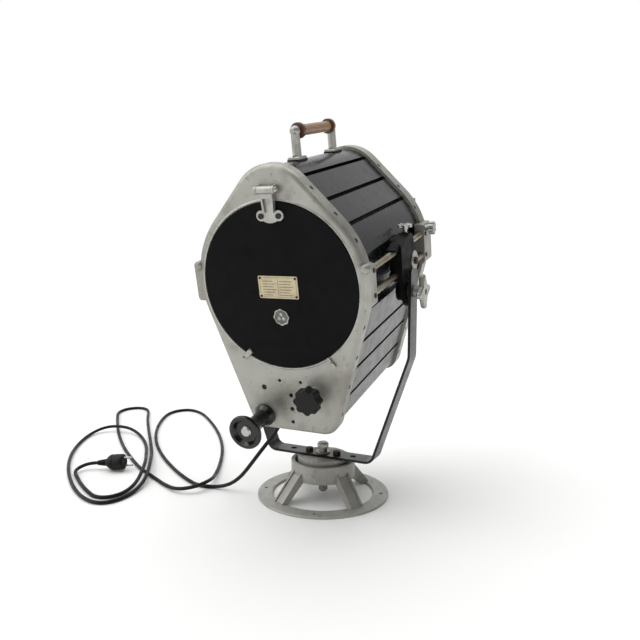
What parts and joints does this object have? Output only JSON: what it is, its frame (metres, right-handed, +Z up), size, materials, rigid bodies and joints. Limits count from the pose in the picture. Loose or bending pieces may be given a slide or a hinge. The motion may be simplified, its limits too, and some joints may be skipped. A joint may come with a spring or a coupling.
{
  "type": "follow spot",
  "caption": "Follow spot lamp house with lens, lamp tray and rear door, tilting in a flat-strap yoke that pans on a cast floor base.",
  "frame": {"origin": "middle of the base casting's underside, on the pan axis", "axes": "+Z up along the pan axis, +Y forward towards the lens at pan 0, +X to the right seen from behind"},
  "size_m": [1.0776, 0.7012, 0.7889],
  "materials": {
    "cast_aluminium": "grimy sand-cast",
    "base_cast": "grey sand-cast",
    "black_enamel": "worn satin",
    "black_door": "matte",
    "black_steel": "satin",
    "black_cast": "painted",
    "bright_steel": "machined",
    "dull_steel": "tarnished",
    "rusty_steel": "rust-tinted",
    "brass": "dull",
    "polished_alloy": "cast and polished",
    "wood": "varnished",
    "brown_plastic": "worn",
    "black_plastic": "worn phenolic",
    "rubber": "matte",
    "friction": "fibre",
    "glass": "clear",
    "mirror": "silvered",
    "ceramic": "unglazed",
    "plate": "aged lacquer",
    "dark_iron": "heat-dulled"
  },
  "bodies": {
    "base": {"base_casting": "base_cast", "thrust_washer": "brass"},
    "yoke_body": {"yoke": "black_steel", "turntable_disc": "dull_steel", "pan_bolt": "dull_steel", "pan_nut": "dull_steel", "pan_washer": "dull_steel", "strap_bolts": "black_steel", "cord": "rubber", "plug": "rubber", "plug_pins": "bright_steel"},
    "carriages": {"pivot_carriage_left": "black_cast", "pivot_carriage_right": "black_cast", "pivot_studs": "bright_steel", "friction_discs": "friction", "lock_discs": "bright_steel", "cord_upper": "rubber"},
    "lamp_house": {"rear_casting": "cast_aluminium", "front_casting": "cast_aluminium", "rim_screws": "dull_steel", "balance_rods": "rusty_steel", "ear_set_screws": "dull_steel", "top_cap": "black_enamel", "bottom_plate": "black_enamel", "upper_slats": "black_enamel", "lower_slats": "black_enamel", "side_panels": "black_enamel", "inner_baffle": "dark_iron", "handle_gaskets": "rubber", "handle_posts": "polished_alloy", "handle_screws": "dull_steel", "handle_collars": "brown_plastic", "handle_grip": "wood", "guide_grip": "black_plastic", "guide_grip_bolt": "bright_steel", "guide_rod": "rusty_steel", "hinge_pin": "bright_steel", "latch_screws": "dull_steel", "lens": "glass", "lens_rings": "dark_iron", "colour_frame_runners": "black_steel", "cord_gland": "black_plastic"},
    "door": {"rear_door": "black_door", "hinge_arm": "cast_aluminium", "door_screws": "black_steel", "name_plate": "plate", "badge": "bright_steel"},
    "left_latch": {"latch_left": "cast_aluminium"},
    "right_latch": {"latch_right": "cast_aluminium"},
    "focus_drive": {"focus_knob": "black_plastic", "focus_screw": "bright_steel"},
    "tray": {"lamp_tray": "dull_steel", "lampholder": "ceramic", "bulb": "glass", "mirror": "mirror"},
    "front_knob": {"accessory_knob": "polished_alloy"},
    "thumb_left": {"thumb_screw_left": "bright_steel"},
    "thumb_right": {"thumb_screw_right": "bright_steel"},
    "knob_left": {"tilt_knob_left": "polished_alloy"},
    "knob_right": {"tilt_knob_right": "polished_alloy"}
  },
  "joints": [
    {"name": "pan", "type": "hinge", "parent": "base", "child": "yoke_body", "pos_m": [0, 0, 0.0855], "axis": [0, 0, 1], "range_deg": [-170, 170]},
    {"name": "tilt", "type": "hinge", "parent": "yoke_body", "child": "carriages", "pos_m": [0, 0, 0.4428], "axis": [1, 0, 0], "range_deg": [-56.6, 13.4]},
    {"name": "balance_slide", "type": "slide", "parent": "carriages", "child": "lamp_house", "axis": [0, 0.9796, 0.2011], "range_m": [-0.04, 0.04]},
    {"name": "door_hinge", "type": "hinge", "parent": "lamp_house", "child": "door", "pos_m": [0, -0.24118, 0.62809], "axis": [-1, 0, 0], "range_deg": [0, 100]},
    {"name": "left_latch_turn", "type": "hinge", "parent": "lamp_house", "child": "left_latch", "pos_m": [-0.0899, -0.16932, 0.3178], "axis": [0, -0.9796, -0.2011], "range_deg": [-90, 90]},
    {"name": "right_latch_turn", "type": "hinge", "parent": "lamp_house", "child": "right_latch", "pos_m": [0.0945, -0.17011, 0.32162], "axis": [0, -0.9796, -0.2011], "range_deg": [-90, 90]},
    {"name": "focus_turn", "type": "hinge", "parent": "lamp_house", "child": "focus_drive", "pos_m": [0.0531, -0.17201, 0.2513], "axis": [0, -0.9796, -0.2011], "range_deg": [-1080, 1080]},
    {"name": "tray_slide", "type": "slide", "parent": "lamp_house", "child": "tray", "axis": [0, 0.9796, 0.2011], "range_m": [-0.03, 0.03]},
    {"name": "front_knob_turn", "type": "hinge", "parent": "lamp_house", "child": "front_knob", "pos_m": [0.19, 0.12763, 0.567], "axis": [1, 0, 0], "range_deg": [0, 360]},
    {"name": "left_thumb_turn", "type": "hinge", "parent": "carriages", "child": "thumb_left", "pos_m": [-0.1735, 0.00566, 0.56442], "axis": [0, -0.2011, 0.9796], "range_deg": [0, 360]},
    {"name": "right_thumb_turn", "type": "hinge", "parent": "carriages", "child": "thumb_right", "pos_m": [0.1735, 0.00566, 0.56442], "axis": [0, -0.2011, 0.9796], "range_deg": [0, 360]},
    {"name": "left_knob_turn", "type": "hinge", "parent": "carriages", "child": "knob_left", "pos_m": [-0.218, 0, 0.4428], "axis": [-1, 0, 0], "range_deg": [0, 360]},
    {"name": "right_knob_turn", "type": "hinge", "parent": "carriages", "child": "knob_right", "pos_m": [0.218, 0, 0.4428], "axis": [1, 0, 0], "range_deg": [0, 360]}
  ],
  "couplings": [
    {"joint": "focus_turn", "follows": "tray_slide", "rad_per_m": 628.32}
  ]
}
